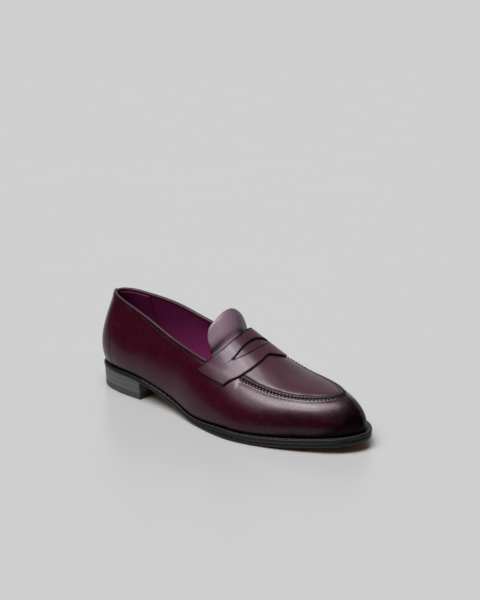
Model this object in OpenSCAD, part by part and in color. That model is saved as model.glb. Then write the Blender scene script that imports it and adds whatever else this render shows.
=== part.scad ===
// Penny loafer, right shoe, in millimetres.
// +X runs from the heel to the toe, +Y to the inner (medial) side of the foot, +Z up.
// The floor is z = 0. The middle of the outline sits on the Z axis.

/* [Sizes] */
// Length of the outsole, back of the heel to the toe
sole_len = 300; // [280:1:320]
// Widest part of the outsole, across the ball of the foot
ball_w = 107; // [100:1:114]
// Width of the outsole at the heel
heel_w = 68; // [64:1:73]
// Height of the heel block at the back
heel_h = 20; // [17:0.5:23]
// Height of the topline above the sole, at the back of the heel
back_h = 67.5; // [62:0.5:72]
// How far the toe end of the sole lifts off the floor
toe_spring = 8; // [5:0.5:11]

/* [Sole] */
// Edge thickness of sole and rand together at the heel and the waist
edge_waist = 4.4; // [3.8:0.1:5]
// Edge thickness of sole and welt together under the ball and toe
edge_fore = 7.8; // [7:0.1:9]
// Share of the edge that is welt rather than outsole
welt_share = 0.4; // [0.35:0.01:0.45]
// Where the front face of the heel block stands, from the back of the heel
breast_x = 66; // [60:1:72]
// Thickness of the rubber top piece under the heel
top_piece_t = 6; // [5:0.5:7]
// How much smaller the heel is at the floor than under the sole, each side
heel_taper = 1.2; // [0.6:0.1:2]
// Thickness of the insole
insole_t = 3; // [2.4:0.1:3.6]

/* [Leather] */
// Thickness of the outer leather
upper_t = 1.3; // [1.1:0.05:1.5]
// Thickness of the stiffeners between the outer leather and the lining
puff_t = 0.7; // [0.5:0.05:0.8]
// Thickness of the lining leather
lining_t = 1; // [0.8:0.05:1.2]
// Thickness of the saddle strap
strap_t = 1.5; // [1.2:0.05:1.8]
// Height of the raised moccasin seam
ridge_h = 0.9; // [0.5:0.05:1.2]
// Height of the binding along the topline
binding_h = 0.8; // [0.6:0.05:1.2]

/* [Stitching] */
// Number of hand stitches round the apron
apron_stitch_n = 58; // [40:1:70]
// Number of stitches along the welt
welt_stitch_n = 96; // [70:1:120]

/* [Part] */
// Piece to draw

/* [Hidden] */
ring_n = 80;
half_n = ring_n / 2;
skin_t = upper_t + puff_t + lining_t;
lining_d = upper_t + puff_t;

// Share of the way from heel to toe of the eleven stations that shape each side.
station_x = [0, 0.027, 0.111, 0.229, 0.36, 0.494, 0.629, 0.75, 0.871, 0.962, 1];
// Outline of the sole at the stations, as [y, how far it follows the ball width].
edge_lat = [[0, 0], [-23.5, 0], [-34.3, 0], [-37.3, 0.2], [-40.9, 0.5], [-52, 0.9],
            [-57.9, 1], [-51.4, 1], [-37, 1], [-19.5, 1], [2.2, 1]];
edge_med = [[0, 0], [21.5, 0], [31.7, 0], [31.4, 0.2], [26.3, 0.5], [31.3, 0.9],
            [46, 1], [49, 1], [40.3, 1], [23.5, 1], [2.2, 1]];
// Upper edge of the walls, as [x share, y, height above the feather line].
// Stations 0 to 5 are the topline, 6 to 10 the seam round the apron.
rim_lat = [[0.02, 0.5, 67.5], [0.037, -8.7, 67.2], [0.087, -14.6, 64.4], [0.213, -20.6, 56.7],
           [0.347, -26, 52.3], [0.477, -31.5, 52], [0.607, -31, 42.8], [0.717, -29.5, 36],
           [0.807, -22.8, 32.3], [0.872, -10, 31], [0.9, 5.2, 31.4]];
rim_med = [[0.02, 0.5, 67.5], [0.037, 9.7, 67.4], [0.087, 17, 65.4], [0.213, 24.4, 60.7],
           [0.347, 27.3, 58.3], [0.477, 27.5, 58], [0.607, 34, 45.2], [0.717, 33.4, 35.8],
           [0.807, 28, 31.8], [0.872, 17, 31], [0.9, 5.2, 31.4]];
// Fullness of the wall between feather line and rim: [out, up] at the bottom and
// [out, down] at the rim.
full_lat = [[10, 24, 6, 22], [10, 24, 7, 22], [8, 22, 8, 22], [4.5, 20, 8, 20],
            [3, 17, 9, 19], [2.5, 14, 11, 15], [2.5, 12, 12, 9], [3, 12, 10, 5],
            [3, 12, 9, 3.5], [3, 12, 9, 3], [3, 13, 10, 3]];
full_med = [[10, 24, 6, 22], [10, 24, 6, 22], [8, 22, 6, 22], [6.5, 20, 6, 20],
            [9, 18, 7, 19], [8, 16, 10, 16], [4, 12, 11, 10], [3, 12, 10, 5],
            [3, 12, 9, 3.5], [3, 12, 9, 3], [3, 13, 10, 3]];
// Rise of the instep arch above its two rims at the stations.
arch_rise = [28, 28, 28, 28, 28, 24, 14.2, 8.2, 4.9, 1.8, 0];
// Rows up the wall, and how far the moccasin seam lifts each one.
wall_v = [0, 0.1, 0.22, 0.35, 0.48, 0.6, 0.72, 0.84, 0.95, 0.975, 1];
wall_lift = [0, 0, 0, 0, 0, 0, 0, 0, 0, 0, 1, 0.8];
rows = len(wall_v);

// ---- curves ----

function mix(a, b, t) = a + (b - a) * t;
function ease(t) = let (c = min(1, max(0, t))) c * c * (3 - 2 * c);
function unit(v) = v / max(norm(v), 1e-9);
function flat(v) = [v.x, v.y];

// Smooth curve through b and c, with a and d as its neighbours.
function between(a, b, c, d, t) =
    b + 0.5 * t * ((c - a) + t * (2 * a - 5 * b + 4 * c - d + t * (3 * b - a - 3 * c + d)));
// The same along a closed loop of points.
function on_loop(p, s) =
    let (n = len(p), i = floor(s), t = s - i, k = i + 4 * n)
    between(p[(k - 1) % n], p[k % n], p[(k + 1) % n], p[(k + 2) % n], t);
// The same along an open line of points.
function on_line(p, s) =
    let (n = len(p), i = min(max(floor(s), 0), n - 2), t = s - i)
    between(p[max(i - 1, 0)], p[i], p[i + 1], p[min(i + 2, n - 1)], t);
function bezier(a, b, c, d, t) =
    let (u = 1 - t) u * u * u * a + 3 * u * u * t * b + 3 * u * t * t * c + t * t * t * d;
// Lateral stations forwards, then the medial ones back to the heel.
function both_sides(lat, med) = concat(lat, [for (i = [len(med) - 2:-1:1]) med[i]]);

// ---- heights along the shoe, x from the back of the heel ----

ramp_start = 0.133 * sole_len;
ramp_end = 0.55 * sole_len;
spring_start = 0.66 * sole_len;

function ramp(x) = min(1, max(0, (x - ramp_start) / (ramp_end - ramp_start)));
function spring(x) = max(0, (x - spring_start) / (sole_len - spring_start));
// Underside of the outsole.
function sole_z(x) = heel_h * 0.5 * (1 + cos(180 * ramp(x))) + toe_spring * pow(spring(x), 1.4);
function edge_t(x) = mix(edge_waist, edge_fore, ease((x / sole_len - 0.44) / 0.18));
// Top of the outsole, where the welt lies.
function welt_z(x) = sole_z(x) + (1 - welt_share) * edge_t(x);
// Top of the welt, the feather line.
function feather_z(x) = sole_z(x) + edge_t(x);
// How far the upper stands in from the sole edge.
function feather_in(x) = mix(2.6, 5.2, ease((x / sole_len - 0.4) / 0.22));
margin_in = 9;

// ---- the sole outline ----

function edge_pt(p, i) =
    [station_x[i] * sole_len, p[i][0] * mix(heel_w / 68, ball_w / 107, p[i][1])];
outline_ring = both_sides([for (i = [0:10]) edge_pt(edge_lat, i)],
                          [for (i = [0:10]) edge_pt(edge_med, i)]);
function outline(s) = on_loop(outline_ring, s);
function outward(s) =
    let (d = unit(outline(s + 0.05) - outline(s - 0.05))) [d.y, -d.x];
// A point of the outline moved in by a distance, at a height given by a level.
function inset(s, d) = outline(s) - outward(s) * d;
function at_sole(p) = [p.x, p.y, sole_z(p.x)];
function at_welt(p) = [p.x, p.y, welt_z(p.x)];
function at_feather(p) = [p.x, p.y, feather_z(p.x)];

// ---- the skin of the upper ----

function rim_pt(p) =
    [p.x * sole_len, p.y, p.z * back_h / 67.5 + feather_z(p.x * sole_len)];
rim_ring = both_sides([for (p = rim_lat) rim_pt(p)], [for (p = rim_med) rim_pt(p)]);
full_ring = both_sides(full_lat, full_med);
function rim(s) = on_loop(rim_ring, s);
function feather(s) = at_feather(inset(s, feather_in(outline(s).x)));
function margin(s) = at_feather(inset(s, feather_in(outline(s).x) + margin_in));

function wall(s, v) =
    let (f = feather(s), r = rim(s), m = on_loop(full_ring, s), o = outward(s))
    bezier(f, f + [o.x * m[0], o.y * m[0], m[1]], r + [o.x * m[2], o.y * m[2], -m[3]], r, v);

// The instep arch between the two rims; w runs from the lateral to the medial rim.
function arch(s, w) =
    mix(rim(s), rim(20 - s), w) + [0, 0, on_line(arch_rise, s) * (1 - pow(abs(2 * w - 1), 2.3))];

// Inward normals.
function wall_in(s, v) =
    unit(cross(wall(s, min(1, v + 0.01)) - wall(s, max(0, v - 0.01)),
               wall(s + 0.05, v) - wall(s - 0.05, v)));
function arch_in(s, w) =
    unit(cross(arch(s, min(1, w + 0.02)) - arch(s, max(0, w - 0.02)),
               arch(min(10, s + 0.05), w) - arch(s - 0.05, w)));

// Grid of the wall: row 0 is the lasting margin, row 1 the feather line, the last row the rim.
function station(k) = k * 20 / ring_n;
wall_grid = [for (k = [0:ring_n - 1]) let (s = station(k))
    concat([margin(s)], [for (v = wall_v) wall(s, v)])];
wall_dir = [for (k = [0:ring_n - 1]) let (s = station(k), o = outward(s))
    concat([[0, 0, 1], [-o.x, -o.y, 1]], [for (j = [1:rows - 1]) wall_in(s, wall_v[j])])];

// How much of the moccasin seam shows at a station: none under the strap.
function seam_on(s) = let (h = s > 10 ? 20 - s : s) ease((h - 6.1) / 0.3);
function skin(k, j, d) =
    let (i = (k + ring_n) % ring_n)
    wall_grid[i][j] + wall_dir[i][j] * d;
function skin_out(k, j) = skin(k, j, -ridge_h * wall_lift[j] * seam_on(station((k + ring_n) % ring_n)));

// ---- closed solids from grids ----

// Faces of a solid between an outer and an inner grid of nu by nv points.
function quad(a, b, c, d) = [[a, b, c], [a, c, d]];
function slab_faces(nu, nv) =
    let (o = nu * nv)
    [for (i = [0:nu - 2], j = [0:nv - 2])
        let (a = i * nv + j)
        each concat(quad(a, a + 1, a + nv + 1, a + nv),
                    quad(o + a, o + a + nv, o + a + nv + 1, o + a + 1)),
     for (j = [0:nv - 2])
        let (a = j, b = (nu - 1) * nv + j)
        each concat(quad(a + 1, a, o + a, o + a + 1),
                    quad(b, b + 1, o + b + 1, o + b)),
     for (i = [0:nu - 2])
        let (a = i * nv, b = i * nv + nv - 1)
        each concat(quad(a, a + nv, o + a + nv, o + a),
                    quad(b + nv, b, o + b, o + b + nv))];
function flat_list(g) = [for (row = g) each row];
module slab(outer, inner) {
    polyhedron(points = concat(flat_list(outer), flat_list(inner)),
               faces = slab_faces(len(outer), len(outer[0])), convexity = 8);
}

// Faces over a closed ring, as rungs between the two sides.
function rung_faces(o, n) =
    concat([[o, o + n - 1, o + 1]],
           [for (k = [1:n / 2 - 2])
               each quad(o + k, o + n - k, o + n - k - 1, o + k + 1)],
           [[o + n / 2 - 1, o + n / 2 + 1, o + n / 2]]);
// A solid from closed rings, one after another, with both end rings filled.
function flip(faces) = [for (f = faces) [f[2], f[1], f[0]]];
module ring_stack(rings) {
    n = len(rings[0]);
    last = (len(rings) - 1) * n;
    skirt = [for (r = [0:len(rings) - 2], k = [0:n - 1])
        let (a = r * n + k, b = r * n + (k + 1) % n)
        each quad(a, b, b + n, a + n)];
    polyhedron(points = flat_list(rings),
               faces = concat(rung_faces(0, n), skirt, flip(rung_faces(last, n))),
               convexity = 8);
}
// Everything is worked out from the back of the heel and then centred.
y_mid = (min([for (p = outline_ring) p.y]) + max([for (p = outline_ring) p.y])) / 2;
x_back = min([for (k = [0:4], j = [0:rows]) wall_grid[k][j].x]);
module centred() {
    translate([-(sole_len + x_back) / 2, -y_mid, 0]) children();
}

// ---- colours ----

burgundy = [0.23, 0.06, 0.11];
plum = [0.36, 0.15, 0.26];
black = [0.05, 0.045, 0.045];
tan = [0.42, 0.24, 0.15];
raw = [0.72, 0.6, 0.47];
cork = [0.55, 0.4, 0.28];
steel = [0.6, 0.62, 0.65];

// ---- pieces of the upper ----

counter_k = 7;
heel_lining_k = 9;
stiff_heel_k = 12;
stiff_toe_k = 34;
apron_k = 22;
throat_k = 24;

// A piece of the skin between two ring stations and two depths.
module skin_piece(k0, k1, d0, d1, top = rows) {
    slab([for (k = [k0:k1]) [for (j = [0:top]) d0 == 0 ? skin_out(k, j) : skin(k, j, d0)]],
         [for (k = [k0:k1]) [for (j = [0:top]) skin(k, j, d1)]]);
}

module wall_lateral() color(burgundy) centred() skin_piece(counter_k, half_n, 0, upper_t);
module wall_medial() color(burgundy) centred() skin_piece(half_n, ring_n - counter_k, 0, upper_t);
module back_counter() color(burgundy) centred() skin_piece(-counter_k, counter_k, 0, upper_t);
module heel_stiffener() color(raw) centred()
    skin_piece(-stiff_heel_k, stiff_heel_k, upper_t, lining_d, rows - 3);
module heel_lining() color(plum) centred()
    skin_piece(-heel_lining_k, heel_lining_k, lining_d, skin_t);
module lining_lateral() color(plum) centred()
    skin_piece(heel_lining_k, half_n, lining_d, skin_t);
module lining_medial() color(plum) centred()
    skin_piece(half_n, ring_n - heel_lining_k, lining_d, skin_t);

// The arch between the rims, closed to a point at the tip of the apron.
arch_w = 12;
arch_grid = [for (k = [apron_k:half_n - 1]) let (s = station(k))
    [for (i = [0:arch_w]) arch(s, i / arch_w)]];
arch_dir = [for (k = [apron_k:half_n - 1]) let (s = station(k))
    [for (i = [0:arch_w])
        i == 0 ? wall_dir[k][rows] :
        i == arch_w ? wall_dir[ring_n - k][rows] : arch_in(s, i / arch_w)]];
function arch_skin(k, d) =
    [for (i = [0:arch_w]) arch_grid[k - apron_k][i] + arch_dir[k - apron_k][i] * d];
module tipped_slab(outer, inner, tip_out, tip_in) {
    nu = len(outer);
    nv = len(outer[0]);
    o = nu * nv;
    tip = 2 * o;
    b = (nu - 1) * nv;
    body = [for (i = [0:nu - 2], j = [0:nv - 2])
        let (a = i * nv + j)
        each concat(quad(a, a + 1, a + nv + 1, a + nv),
                    quad(o + a, o + a + nv, o + a + nv + 1, o + a + 1))];
    back = [for (j = [0:nv - 2]) each quad(j + 1, j, o + j, o + j + 1)];
    sides = [for (i = [0:nu - 2])
        let (a = i * nv, c = i * nv + nv - 1)
        each concat(quad(a, a + nv, o + a + nv, o + a), quad(c + nv, c, o + c, o + c + nv))];
    fan = [for (j = [0:nv - 2])
        each [[b + j, b + j + 1, tip], [o + b + j, tip + 1, o + b + j + 1]]];
    ends = concat(quad(b, tip, tip + 1, o + b),
                  quad(tip, b + nv - 1, o + b + nv - 1, tip + 1));
    polyhedron(points = concat(flat_list(outer), flat_list(inner), [tip_out, tip_in]),
               faces = concat(body, back, sides, fan, ends), convexity = 8);
}
module arch_piece(k0, d0, d1) {
    tipped_slab([for (k = [k0:half_n - 1]) arch_skin(k, d0)],
                [for (k = [k0:half_n - 1]) arch_skin(k, d1)],
                skin(half_n, rows, d0), skin(half_n, rows, d1));
}
module apron() color(burgundy) centred() arch_piece(apron_k, 0, upper_t);
module vamp_lining() color(plum) centred() arch_piece(throat_k, lining_d, skin_t);
module toe_puff() color(raw) centred() {
    skin_piece(stiff_toe_k, ring_n - stiff_toe_k, upper_t, lining_d);
    arch_piece(stiff_toe_k, upper_t, lining_d);
}

// Binding over the top edges of wall and lining, from strap to strap round the heel.
function skin_at(k, j, d) =
    mix(skin(floor(k), j, d), skin(floor(k) + 1, j, d), k - floor(k));
function up_edge(k) = unit(skin_at(k, rows, 0) - skin_at(k, rows - 1, 0));
binding_end = 20.3;
binding_at = concat([-binding_end], [for (k = [-20:20]) k], [binding_end]);
function binding_row(k, h) =
    let (up = up_edge(k) * h) [skin_at(k, rows, 0) + up, skin_at(k, rows, skin_t) + up];
module topline_binding() color(plum) centred()
    slab([for (k = binding_at) binding_row(k, binding_h)],
         [for (k = binding_at) binding_row(k, 0.12)]);

// ---- saddle strap ----

// Where the strap's two edges run, as stations, from the lateral end to the medial end.
strap_rear = [4.92, 5.03, 5.13, 5.33, 5.42, 5.45, 5.44, 5.41, 5.37, 5.29, 5.13, 5.03, 4.92];
strap_front = [5.75, 5.89, 6.06, 6.21, 6.27, 6.28, 6.295, 6.325, 6.37, 6.35, 6.14, 5.92, 5.78];
strap_low = [0.8, 0.73];
// The two lobes of the front edge meet in a notch.
notch_depth = 0.08;
notch_half = 0.12;
notch_q = 0.522;
// The rear of the strap swells over the tongue, most of all towards the medial side.
strap_swell = [0, 4.5, 1.3];
strap_gap = 0.25;
strap_n = 36;
strap_m = 8;
function strap_edge(p, q) = on_line(p, q * (len(p) - 1));
function strap_notch(q) = notch_depth * pow(max(0, 1 - abs(q - notch_q) / notch_half), 1.2);
// q runs from the lateral end (0) to the medial end (1), t from the rear edge to the front.
function strap_base(q, t) =
    let (s = mix(strap_edge(strap_rear, q), strap_edge(strap_front, q), t) - strap_notch(q) * pow(t, 4),
         low = mix(strap_low[0], strap_low[1], t))
    q < 1 / 6 ? wall(s, mix(low, 1, q * 6)) :
    q > 5 / 6 ? wall(20 - s, mix(low, 1, (1 - q) * 6)) :
    let (w = (q - 1 / 6) * 1.5)
    arch(s, w) + strap_swell * (1 - t) * pow(sin(180 * pow(w, 2.5)), 2);
function strap_out(q, t) =
    let (e = 0.02)
    unit(cross(strap_base(q, min(1, t + e)) - strap_base(q, max(0, t - e)),
               strap_base(min(1, q + e), t) - strap_base(max(0, q - e), t)));
function strap_pt(q, t, d) = strap_base(q, t) + strap_out(q, t) * d;
function strap_grid(q0, q1, n, t0, t1, m, d) =
    [for (i = [0:n]) let (a = i / n, q = mix(q0, q1, a))
        [for (j = [0:m]) strap_pt(q, mix(t0(a), t1(a), j / m), d)]];
slot_q = [0.24, 0.74];
module saddle_strap() color(burgundy) centred() {
    rear = function(a) 0;
    front = function(a) 1;
    slot_rear = function(a) 0.41 - 0.1 * (1 - pow(2 * a - 1, 2));
    slot_edge = function(a) 0.43 + 0.15 * (1 - pow(2 * a - 1, 2));
    difference() {
        slab(strap_grid(0, 1, strap_n, rear, front, strap_m, strap_gap),
             strap_grid(0, 1, strap_n, rear, front, strap_m, strap_gap + strap_t));
        slab(strap_grid(slot_q[0], slot_q[1], 12, slot_rear, slot_edge, 2, -1),
             strap_grid(slot_q[0], slot_q[1], 12, slot_rear, slot_edge, 2, 4));
    }
}

// ---- tongue ----

tongue_w = 10;
// Ribs of the tongue from the strap's rear edge up: [x share, y, height over the feather
// line there, half width, sweep back of the edges, drop of the edges].
tongue_ribs = [[0.531, -1.9, 69.3, 25.3, 9.5, 15.6], [0.517, 0.3, 76.8, 27.5, 7, 14.6],
               [0.501, 3, 83.3, 29, 7, 14.2], [0.4865, 4.7, 87.9, 25, 5.8, 9.5],
               [0.4785, 5.2, 89.9, 14, 2.2, 3.4], [0.475, 5.3, 90.6, 6.2, 0.5, 0.9]];
tongue_last = len(tongue_ribs) - 1;
function tongue_rib(i, u) =
    let (r = tongue_ribs[i], x = r[0] * sole_len)
    [x - r[4] * u * u, r[1] + r[3] * u,
     feather_z(x) + r[2] * back_h / 67.5 - r[5] * pow(abs(u), 1.8)];
function tongue_at(r, u) = on_line([for (i = [0:tongue_last]) tongue_rib(i, u)], r);
function tongue_in(r, u) =
    unit(cross(tongue_at(r, min(1, u + 0.02)) - tongue_at(r, max(-1, u - 0.02)),
               tongue_at(max(0, r - 0.05), u) - tongue_at(min(tongue_last, r + 0.05), u)));
// The first row stands clear of the strap.
tongue_rows = concat([0.32, 0.66], [for (r = [1:0.5:tongue_last]) r]);
function tongue_grid(d) =
    [for (r = tongue_rows)
        [for (i = [-tongue_w:tongue_w]) let (u = i / tongue_w)
            tongue_at(r, u) + tongue_in(r, u) * d]];
module tongue() color(burgundy) centred() slab(tongue_grid(upper_t), tongue_grid(0));
module tongue_lining() color(plum) centred()
    slab(tongue_grid(upper_t + lining_t), tongue_grid(upper_t));

// ---- sole ----

welt_k = 12;
shank_x = [0.27, 0.53];
shank_w = 14;
shank_t = 1.4;

ks = [for (k = [0:ring_n - 1]) k];
function flat_out(k) = outline(station(k));
function flat_in(k) = flat(wall_grid[k][0]);
function welt_foot(k) = flat(wall_grid[k][1]);
function shrink(p, f) = [mix(sole_len / 2, p.x, f), p.y * f];
// Underside of the outsole, a little smaller than the top so that the edge is bevelled.
sole_bevel = 0.985;
under_ring = [for (k = ks) at_sole(shrink(flat_out(k), sole_bevel))];
edge_ring = [for (k = ks) let (p = at_sole(flat_out(k))) p + [0, 0, 1.1]];
welt_low = [for (k = ks) [at_welt(flat_in(k)), at_welt(welt_foot(k)), at_welt(flat_out(k))]];
welt_top = [for (k = ks)
    [at_feather(flat_in(k)), at_feather(welt_foot(k)), at_feather(flat_out(k))]];

module outsole() color(tan) centred()
    ring_stack([[for (k = ks) welt_low[k][0]], [for (k = ks) welt_low[k][1]],
                [for (k = ks) welt_low[k][2]], edge_ring, under_ring]);

module welt_arc(k0, k1) {
    slab([for (k = [k0:k1]) welt_low[(k + ring_n) % ring_n]],
         [for (k = [k0:k1]) welt_top[(k + ring_n) % ring_n]]);
}
module welt() color(black) centred() welt_arc(welt_k, ring_n - welt_k);
module heel_rand() color(black) centred() welt_arc(-welt_k, welt_k);

function shank_at(x, side, up, grow) =
    [x * sole_len, -2 + side * (shank_w / 2 + grow), welt_z(x * sole_len) + 1 + up];
function shank_grid(up, grow) =
    [for (i = [0:12])
        let (x = mix(shank_x[0] - grow / sole_len, shank_x[1] + grow / sole_len, i / 12))
        [for (side = [-1, 1]) shank_at(x, side, up, grow)]];
module shank() color(steel) centred() slab(shank_grid(shank_t, 0), shank_grid(0, 0));
module cork_filler() color(cork) centred() difference() {
    ring_stack([[for (k = ks) skin(k, 0, skin_t)], [for (k = ks) welt_top[k][0]],
                [for (k = ks) welt_low[k][0]]]);
    slab(shank_grid(shank_t + 0.2, 0.2), shank_grid(-0.2, 0.2));
}

insole_low = [for (k = ks) skin(k, 1, skin_t) + [0, 0, 0.06]];
insole_top = [for (k = ks)
    let (o = outward(station(k))) insole_low[k] + [-o.x * 1.1, -o.y * 1.1, insole_t]];
sock_ring = [for (k = ks)
    let (o = outward(station(k))) insole_low[k] + [-o.x * 1.6, -o.y * 1.6, insole_t]];
sock_t = 0.8;
module insole() color(raw) centred()
    ring_stack([sock_ring, insole_top, insole_low, [for (k = ks) skin(k, 0, skin_t + 0.06)]]);
module sock_liner() color(plum) centred()
    ring_stack([[for (p = sock_ring) p + [0, 0, sock_t]], sock_ring]);

// ---- heel ----

heel_mid = 35;
lift_t = (heel_h - top_piece_t - 4) / 2;
heel_cut = [for (i = [-18:18]) flat_out((i + ring_n) % ring_n)];
function heel_plan(inset) =
    let (f = 1 - inset / 34)
    [for (p = heel_cut) [heel_mid + (p.x - heel_mid) * f, p.y * f]];
module heel_layer(z0, z1, inset) {
    intersection() {
        translate([0, 0, z0]) linear_extrude(z1 - z0) polygon(heel_plan(inset));
        translate([-10, -60, z0 - 1]) cube([breast_x + 10, 120, z1 - z0 + 2]);
    }
}
module top_piece() color(black) centred() heel_layer(0, top_piece_t, heel_taper);
module heel_lift_lower() color(black) centred()
    heel_layer(top_piece_t, top_piece_t + lift_t, heel_taper * 0.8 + 0.1);
module heel_lift_upper() color(black) centred()
    heel_layer(top_piece_t + lift_t, top_piece_t + 2 * lift_t, heel_taper * 0.5 + 0.2);
// The top lift is ground to follow the curve of the sole above it.
module heel_seat_lift() color(black) centred() intersection() {
    heel_layer(top_piece_t + 2 * lift_t, heel_h + 1, heel_taper * 0.2 + 0.4);
    translate([0, 60, 0]) rotate([90, 0, 0]) linear_extrude(120)
        polygon(concat([[-10, 0], [-10, heel_h]],
                       [for (k = [0:20]) [under_ring[k].x, under_ring[k].z]],
                       [[under_ring[20].x, 0]]));
}

// ---- seams and stitching ----

// A short thread lying at p along one direction, standing off in another.
module thread(p, along, out, size) {
    a = unit(along);
    o = unit(out - a * (out * a));
    c = cross(o, a);
    multmatrix([[a.x, c.x, o.x, p.x], [a.y, c.y, o.y, p.y], [a.z, c.z, o.z, p.z],
                [0, 0, 0, 1]])
        translate([-size.x / 2, -size.y / 2, 0]) cube(size);
}
function seam_at(k, j) = mix(skin_out(floor(k), j), skin_out(floor(k) + 1, j), k - floor(k));
function out_at(k, j) = -mix(wall_dir[floor(k) % ring_n][j],
                             wall_dir[(floor(k) + 1) % ring_n][j], k - floor(k));

apron_seam_k = [25.2, ring_n - 25.2];
module apron_stitches() color(black) centred()
    for (i = [0:apron_stitch_n - 1]) {
        k = mix(apron_seam_k[0], apron_seam_k[1], i / (apron_stitch_n - 1));
        out = out_at(k, rows - 1);
        thread(seam_at(k, rows - 1) + out * 0.12,
               skin_at(k, rows, 0) - skin_at(k, rows - 2, 0), out, [1.9, 0.7, 0.4]);
    }

module welt_stitches() color(raw) centred()
    for (i = [0:welt_stitch_n - 1]) {
        k = mix(welt_k + 0.8, ring_n - welt_k - 0.8, i / (welt_stitch_n - 1));
        f = floor(k);
        on = function(n) mix(welt_top[n][1], welt_top[n][2], 0.6);
        p = mix(on(f), on(f + 1), k - f);
        thread(p + [0, 0, 0.08], on(f + 1) - on(f), [0, 0, 1], [1.7, 0.5, 0.3]);
    }

module toe_seam() color(black) centred()
    for (j = [2:rows - 1]) {
        a = skin_out(half_n, j);
        b = skin_out(half_n, j + 1);
        out = -wall_dir[half_n][j] - wall_dir[half_n][j + 1];
        thread((a + b) / 2 + unit(out) * 0.1, b - a, out, [norm(b - a) * 0.86, 0.9, 0.5]);
    }

topline_stitch_k = 19.2;
topline_stitch_n = 97;
tab_half_k = 0.9;
module topline_stitches() color(black) centred()
    for (i = [0:topline_stitch_n - 1]) {
        k = mix(-topline_stitch_k, topline_stitch_k, i / (topline_stitch_n - 1));
        f = floor(k);
        on = function(n) mix(skin(n, rows - 2, 0), skin(n, rows - 1, 0), 0.5);
        out = -mix(wall_dir[(f + ring_n) % ring_n][rows - 2],
                   wall_dir[(f + 1 + ring_n) % ring_n][rows - 2], k - f);
        if (abs(k) > tab_half_k)
            thread(mix(on(f), on(f + 1), k - f) + out * 0.12, on(f + 1) - on(f), out,
                   [1.5, 0.4, 0.25]);
    }

strap_stitch_n = 15;
module strap_stitches() color(black) centred()
    for (end = [0.012, 0.988], i = [0:strap_stitch_n - 1]) {
        t = mix(0.06, 0.94, i / (strap_stitch_n - 1));
        out = strap_out(end, t);
        thread(strap_pt(end, t, strap_gap + strap_t + 0.1),
               strap_base(end, t + 0.02) - strap_base(end, t - 0.02), out, [1.5, 0.4, 0.25]);
    }

module back_tab() color(black) centred() {
    p = skin(0, rows - 1, 0);
    q = skin(0, rows - 3, 0);
    thread(mix(p, q, 0.35) - wall_dir[0][rows - 1] * 0.35, p - q, -wall_dir[0][rows - 1],
           [7, 5, 0.9]);
}

wall_lateral();
wall_medial();
back_counter();
apron();
saddle_strap();
tongue();
tongue_lining();
topline_binding();
heel_lining();
lining_lateral();
lining_medial();
vamp_lining();
heel_stiffener();
toe_puff();
sock_liner();
insole();
cork_filler();
shank();
welt();
heel_rand();
outsole();
heel_seat_lift();
heel_lift_upper();
heel_lift_lower();
top_piece();
toe_seam();
back_tab();
apron_stitches();
strap_stitches();
topline_stitches();
welt_stitches();
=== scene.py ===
"""Penny loafer, right shoe: the looks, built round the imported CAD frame."""

import math

import bmesh
import bpy
import numpy as np
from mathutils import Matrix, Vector


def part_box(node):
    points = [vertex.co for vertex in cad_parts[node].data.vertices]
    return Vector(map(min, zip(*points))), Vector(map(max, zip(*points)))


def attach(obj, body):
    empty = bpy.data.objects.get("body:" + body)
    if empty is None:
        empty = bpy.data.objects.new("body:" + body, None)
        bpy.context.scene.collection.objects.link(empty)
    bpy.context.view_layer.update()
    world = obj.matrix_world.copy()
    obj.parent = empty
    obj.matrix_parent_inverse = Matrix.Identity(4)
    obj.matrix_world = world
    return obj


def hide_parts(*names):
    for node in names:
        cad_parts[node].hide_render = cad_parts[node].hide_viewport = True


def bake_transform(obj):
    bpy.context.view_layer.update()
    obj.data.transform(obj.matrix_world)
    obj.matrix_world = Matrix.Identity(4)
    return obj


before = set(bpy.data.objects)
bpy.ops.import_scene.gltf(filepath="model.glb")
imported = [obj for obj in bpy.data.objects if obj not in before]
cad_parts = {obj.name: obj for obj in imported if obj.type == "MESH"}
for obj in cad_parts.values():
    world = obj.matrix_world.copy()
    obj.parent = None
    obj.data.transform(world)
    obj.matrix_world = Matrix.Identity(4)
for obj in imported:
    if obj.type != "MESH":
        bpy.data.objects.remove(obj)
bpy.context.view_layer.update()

MM = 0.001
SOLE_LEN = 300.0
MIDDLE_Y = 4.45
# from the tables' origin, at the back of the heel, to the frame's
SHIFT = np.array([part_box("outsole")[1].x * 1000 - SOLE_LEN, MIDDLE_Y, 0.0])

# ------------------------ shape tables, in mm
# The same stations that shape the CAD model. Round the shoe s runs from the back of
# the heel (0) along the lateral side to the toe (10) and back along the medial side (20).
STATION = np.array([0, 0.027, 0.111, 0.229, 0.36, 0.494, 0.629, 0.75, 0.871, 0.962, 1])
EDGE_LAT = [0, -23.5, -34.3, -37.3, -40.9, -52, -57.9, -51.4, -37, -19.5, 2.2]
EDGE_MED = [0, 21.5, 31.7, 31.4, 26.3, 31.3, 46, 49, 40.3, 23.5, 2.2]
# rim: share of the length, y, height over the feather line, where upper and welt meet
RIM_LAT = [[.02, .5, 67.5], [.037, -8.7, 67.2], [.087, -14.6, 64.4], [.213, -20.6, 56.7],
           [.347, -26, 52.3], [.477, -31.5, 52], [.607, -31, 42.8], [.717, -29.5, 36],
           [.807, -22.8, 32.3], [.872, -10, 31], [.9, 5.2, 31.4]]
RIM_MED = [[.02, .5, 67.5], [.037, 9.7, 67.4], [.087, 17, 65.4], [.213, 24.4, 60.7],
           [.347, 27.3, 58.3], [.477, 27.5, 58], [.607, 34, 45.2], [.717, 33.4, 35.8],
           [.807, 28, 31.8], [.872, 17, 31], [.9, 5.2, 31.4]]
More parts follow.
